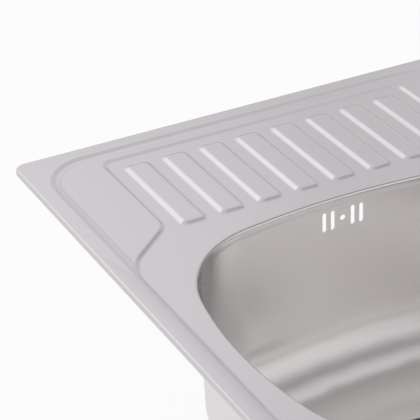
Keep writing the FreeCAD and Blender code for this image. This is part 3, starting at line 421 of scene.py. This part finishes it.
metalFinishes = {
    "satinSteel": {
        "colour": (0.680, 0.651, 0.676), "deeper": (0.665, 0.636, 0.661),
        "rough": (0.20, 0.26), "grain": (3.0, 260.0, 260.0), "bump": 0.02},
    # the bowl's drawn finish: roughness and grain are the real finish, but its colour is set
    # lighter than the deck's same steel, painted light that offsets the shade inside the bowl
    "drawnSteelWithPaintedLight": {
        "colour": (0.852, 0.834, 0.831), "deeper": (0.840, 0.822, 0.819),
        "rough": (0.24, 0.28), "grain": (140.0, 140.0, 9.0), "bump": 0.008},
    "polishedSteel": {
        "colour": (0.80, 0.80, 0.80), "deeper": (0.75, 0.75, 0.75),
        "rough": (0.16, 0.24), "grain": (60.0, 60.0, 60.0), "bump": 0.01},
    "chromePlate": {
        "colour": (0.84, 0.84, 0.85), "deeper": (0.80, 0.80, 0.81),
        "rough": (0.06, 0.11), "grain": (90.0, 90.0, 90.0), "bump": 0.005},
    "zincPlate": {
        "colour": (0.64, 0.65, 0.66), "deeper": (0.52, 0.53, 0.55),
        "rough": (0.36, 0.50), "grain": (220.0, 220.0, 220.0), "bump": 0.05},
    "turnedBrass": {
        "colour": (0.72, 0.56, 0.28), "deeper": (0.62, 0.46, 0.22),
        "rough": (0.26, 0.36), "grain": (20.0, 20.0, 900.0), "bump": 0.05},
}
softFinishes = {
    "sealRubber": {
        "colour": (0.022, 0.022, 0.024), "deeper": (0.036, 0.036, 0.038),
        "rough": 0.62, "grain": 900.0, "bump": 0.10},
    "foamStrip": {
        "colour": (0.030, 0.030, 0.032), "deeper": (0.050, 0.050, 0.052),
        "rough": 0.88, "grain": 1500.0, "bump": 0.30},
    "padRubber": {
        "colour": (0.028, 0.028, 0.031), "deeper": (0.044, 0.044, 0.048),
        "rough": 0.78, "grain": 420.0, "bump": 0.18},
    "whiteMoulding": {
        "colour": (0.74, 0.74, 0.72), "deeper": (0.70, 0.70, 0.68),
        "rough": 0.34, "grain": 320.0, "bump": 0.04},
}
wears = {
    "deck": "satinSteel", "bowl": "drawnSteelWithPaintedLight",
    "rim_gasket": "foamStrip", "damping_pads": "padRubber",
    "waste_dish": "polishedSteel", "waste_upper_seal": "sealRubber",
    "waste_lower_seal": "sealRubber", "waste_cup": "whiteMoulding",
    "waste_insert": "turnedBrass", "waste_screw": "polishedSteel",
    "basket_cup": "polishedSteel", "stopper": "sealRubber",
    "stopper_post": "polishedSteel", "stopper_knob": "chromePlate",
    "post_ring": "polishedSteel",
}
mix = {"detail": 4.0, "metalScale": 6.0, "edges": (0.35, 0.65), "bumpDepth": 0.0002}


def startMaterial(name):
    material = bpy.data.materials.new(name)
    material.use_nodes = True
    tree = material.node_tree
    place = tree.nodes.new("ShaderNodeTexCoord")
    spread = tree.nodes.new("ShaderNodeMapping")
    tree.links.new(place.outputs["Object"], spread.inputs["Vector"])
    noise = tree.nodes.new("ShaderNodeTexNoise")
    noise.inputs["Detail"].default_value = mix["detail"]
    tree.links.new(spread.outputs["Vector"], noise.inputs["Vector"])
    return material, tree, tree.nodes["Principled BSDF"], spread, noise


def mixColours(tree, shader, noise, look):
    ramp = tree.nodes.new("ShaderNodeValToRGB")
    steps = ramp.color_ramp.elements
    for step, edge, colour in zip(steps, mix["edges"], (look["deeper"], look["colour"])):
        step.position, step.color = edge, (*colour, 1)
    tree.links.new(noise.outputs["Fac"], ramp.inputs["Fac"])
    tree.links.new(ramp.outputs["Color"], shader.inputs["Base Color"])


def addBump(tree, shader, noise, look):
    bump = tree.nodes.new("ShaderNodeBump")
    bump.inputs["Strength"].default_value = look["bump"]
    bump.inputs["Distance"].default_value = mix["bumpDepth"]
    tree.links.new(noise.outputs["Fac"], bump.inputs["Height"])
    tree.links.new(bump.outputs["Normal"], shader.inputs["Normal"])


def makeMetal(name):
    look = metalFinishes[name]
    material, tree, shader, spread, noise = startMaterial(name)
    spread.inputs["Scale"].default_value = look["grain"]
    noise.inputs["Scale"].default_value = mix["metalScale"]
    shader.inputs["Metallic"].default_value = 1.0
    mixColours(tree, shader, noise, look)
    roughness = tree.nodes.new("ShaderNodeMapRange")
    least, most = look["rough"]
    roughness.inputs["To Min"].default_value = least
    roughness.inputs["To Max"].default_value = most
    tree.links.new(noise.outputs["Fac"], roughness.inputs["Value"])
    tree.links.new(roughness.outputs["Result"], shader.inputs["Roughness"])
    addBump(tree, shader, noise, look)
    return material


def makeSoft(name):
    look = softFinishes[name]
    material, tree, shader, spread, noise = startMaterial(name)
    noise.inputs["Scale"].default_value = look["grain"]
    shader.inputs["Roughness"].default_value = look["rough"]
    mixColours(tree, shader, noise, look)
    addBump(tree, shader, noise, look)
    return material


def wear(piece, finish):
    piece.data.materials.clear()
    piece.data.materials.append(materials[finish])


# the wall under the lip takes the bowl's colour, so it carries the same painted light against the
# shade in the bowl
def polishMouth():  # the wall under the lip is polished together with the bowl
    shape = deckShape
    lipFrom = shape["fieldLevel"] - shape["lipRadius"] / 2
    deck.data.materials.append(materials["drawnSteelWithPaintedLight"])
    for face in deck.data.polygons:
        x, y, z = face.center / mm
        if z < lipFrom and abs(x) < shape["fieldSide"] and abs(y) < -shape["fieldFront"]:
            face.material_index = 1


materials = {name: makeMetal(name) for name in metalFinishes}
materials.update({name: makeSoft(name) for name in softFinishes})
for name, node in nodes.items():
    wear(node, wears.get(name, "zincPlate"))
wear(deck, wears["deck"])
wear(bowl, wears["bowl"])
polishMouth()
print("materials done")


# room: floor, world and lamps

room = {
    "floorLevel": -0.2640, "floorSize": 14.0,
    "floorColour": (0.92, 0.92, 0.92, 1.0), "floorRough": 0.9,
    "floorToCamera": 0.92, "floorToGloss": 0.60,
    "worldStrength": 0.95, "brightSide": (-0.35, 0.87, 0.35),
    "glow": [  # the world's grey, from its far side (0) to its bright side (1)
        (0.08, 0.88), (0.17, 0.82), (0.25, 0.70), (0.33, 0.42), (0.42, 0.24), (0.52, 0.58),
        (0.65, 0.76), (0.75, 0.80), (0.82, 0.73), (0.87, 0.83), (0.91, 0.98), (0.95, 1.0)],
    "lamps": [
        {"name": "rearBox", "at": (0.35, 2.30, 1.75), "size": (1.8, 0.9), "power": 0.6},
        {"name": "rearLeftBox", "at": (-0.70, 1.75, 1.45), "size": (0.9, 0.7), "power": 0.5},
        {"name": "frontTop", "at": (-0.6, -1.2, 2.4), "size": (1.6, 1.6), "power": 5.0},
    ],
}


def showToRays(tree, surface, seen, output, toCamera, toGloss):
    # seen takes the surface's place by these shares, for the camera and for gloss and glass
    rays = tree.nodes.new("ShaderNodeLightPath")
    amounts = {"Is Camera Ray": toCamera, "Is Glossy Ray": toGloss, "Is Transmission Ray": toGloss}
    largest = None
    for ray, amount in amounts.items():
        share = tree.nodes.new("ShaderNodeMath")
        share.operation = "MULTIPLY"
        share.inputs[1].default_value = amount
        tree.links.new(rays.outputs[ray], share.inputs[0])
        if largest is not None:
            larger = tree.nodes.new("ShaderNodeMath")
            larger.operation = "MAXIMUM"
            tree.links.new(largest.outputs[0], larger.inputs[0])
            tree.links.new(share.outputs[0], larger.inputs[1])
            share = larger
        largest = share
    blend = tree.nodes.new("ShaderNodeMixShader")
    tree.links.new(largest.outputs[0], blend.inputs[0])
    tree.links.new(surface.outputs[0], blend.inputs[1])
    tree.links.new(seen.outputs[0], blend.inputs[2])
    tree.links.new(blend.outputs[0], output.inputs["Surface"])


def addWorld():  # brightest behind the sink and greyer in front of it, white to the camera
    world = bpy.data.worlds.new("studio")
    scene.world = world
    world.use_nodes = True
    tree = world.node_tree
    light = tree.nodes["Background"]
    light.inputs["Strength"].default_value = room["worldStrength"]
    place = tree.nodes.new("ShaderNodeTexCoord")
    towards = tree.nodes.new("ShaderNodeVectorMath")
    towards.operation = "DOT_PRODUCT"
    towards.inputs[1].default_value = Vector(room["brightSide"]).normalized()
    reach = tree.nodes.new("ShaderNodeMapRange")
    reach.inputs["From Min"].default_value = -1.0
    ramp = tree.nodes.new("ShaderNodeValToRGB")
    steps = ramp.color_ramp.elements
    glow = room["glow"]
    while len(steps) < len(glow):
        steps.new(0.5)
    for step, (position, level) in zip(steps, glow):
        step.position, step.color = position, (level, level, level, 1)
    tree.links.new(place.outputs["Generated"], towards.inputs[0])
    tree.links.new(towards.outputs["Value"], reach.inputs["Value"])
    tree.links.new(reach.outputs["Result"], ramp.inputs["Fac"])
    tree.links.new(ramp.outputs["Color"], light.inputs["Color"])
    rays = tree.nodes.new("ShaderNodeLightPath")
    white = tree.nodes.new("ShaderNodeMixRGB")
    white.inputs["Color2"].default_value = (1, 1, 1, 1)
    tree.links.new(rays.outputs["Is Camera Ray"], white.inputs["Fac"])
    tree.links.new(ramp.outputs["Color"], white.inputs["Color1"])
    seen = tree.nodes.new("ShaderNodeBackground")
    tree.links.new(white.outputs["Color"], seen.inputs["Color"])
    showToRays(tree, light, seen, tree.nodes["World Output"], 1.0, 1.0)


def addFloor():
    bpy.ops.mesh.primitive_plane_add(size=room["floorSize"], location=(0, 0, room["floorLevel"]))
    floor = bpy.context.object
    floor.name = "floor"
    material = bpy.data.materials.new("paleFloor")
    material.use_nodes = True
    tree = material.node_tree
    shader = tree.nodes["Principled BSDF"]
    shader.inputs["Base Color"].default_value = room["floorColour"]
    shader.inputs["Roughness"].default_value = room["floorRough"]
    seen = tree.nodes.new("ShaderNodeEmission")
    showToRays(tree, shader, seen, tree.nodes["Material Output"],
               room["floorToCamera"], room["floorToGloss"])
    floor.data.materials.append(material)


def addLamps():  # each one faces the origin
    for lamp in room["lamps"]:
        bpy.ops.object.light_add(type="AREA", location=lamp["at"])
        light = bpy.context.object
        light.name = lamp["name"]
        light.data.shape = "RECTANGLE"
        light.data.size, light.data.size_y = lamp["size"]
        light.data.energy = lamp["power"]
        towards = -Vector(lamp["at"])
        light.rotation_euler = towards.to_track_quat("-Z", "Y").to_euler()


addWorld()
addFloor()
addLamps()
print("room done")

scene.view_settings.view_transform = "Standard"
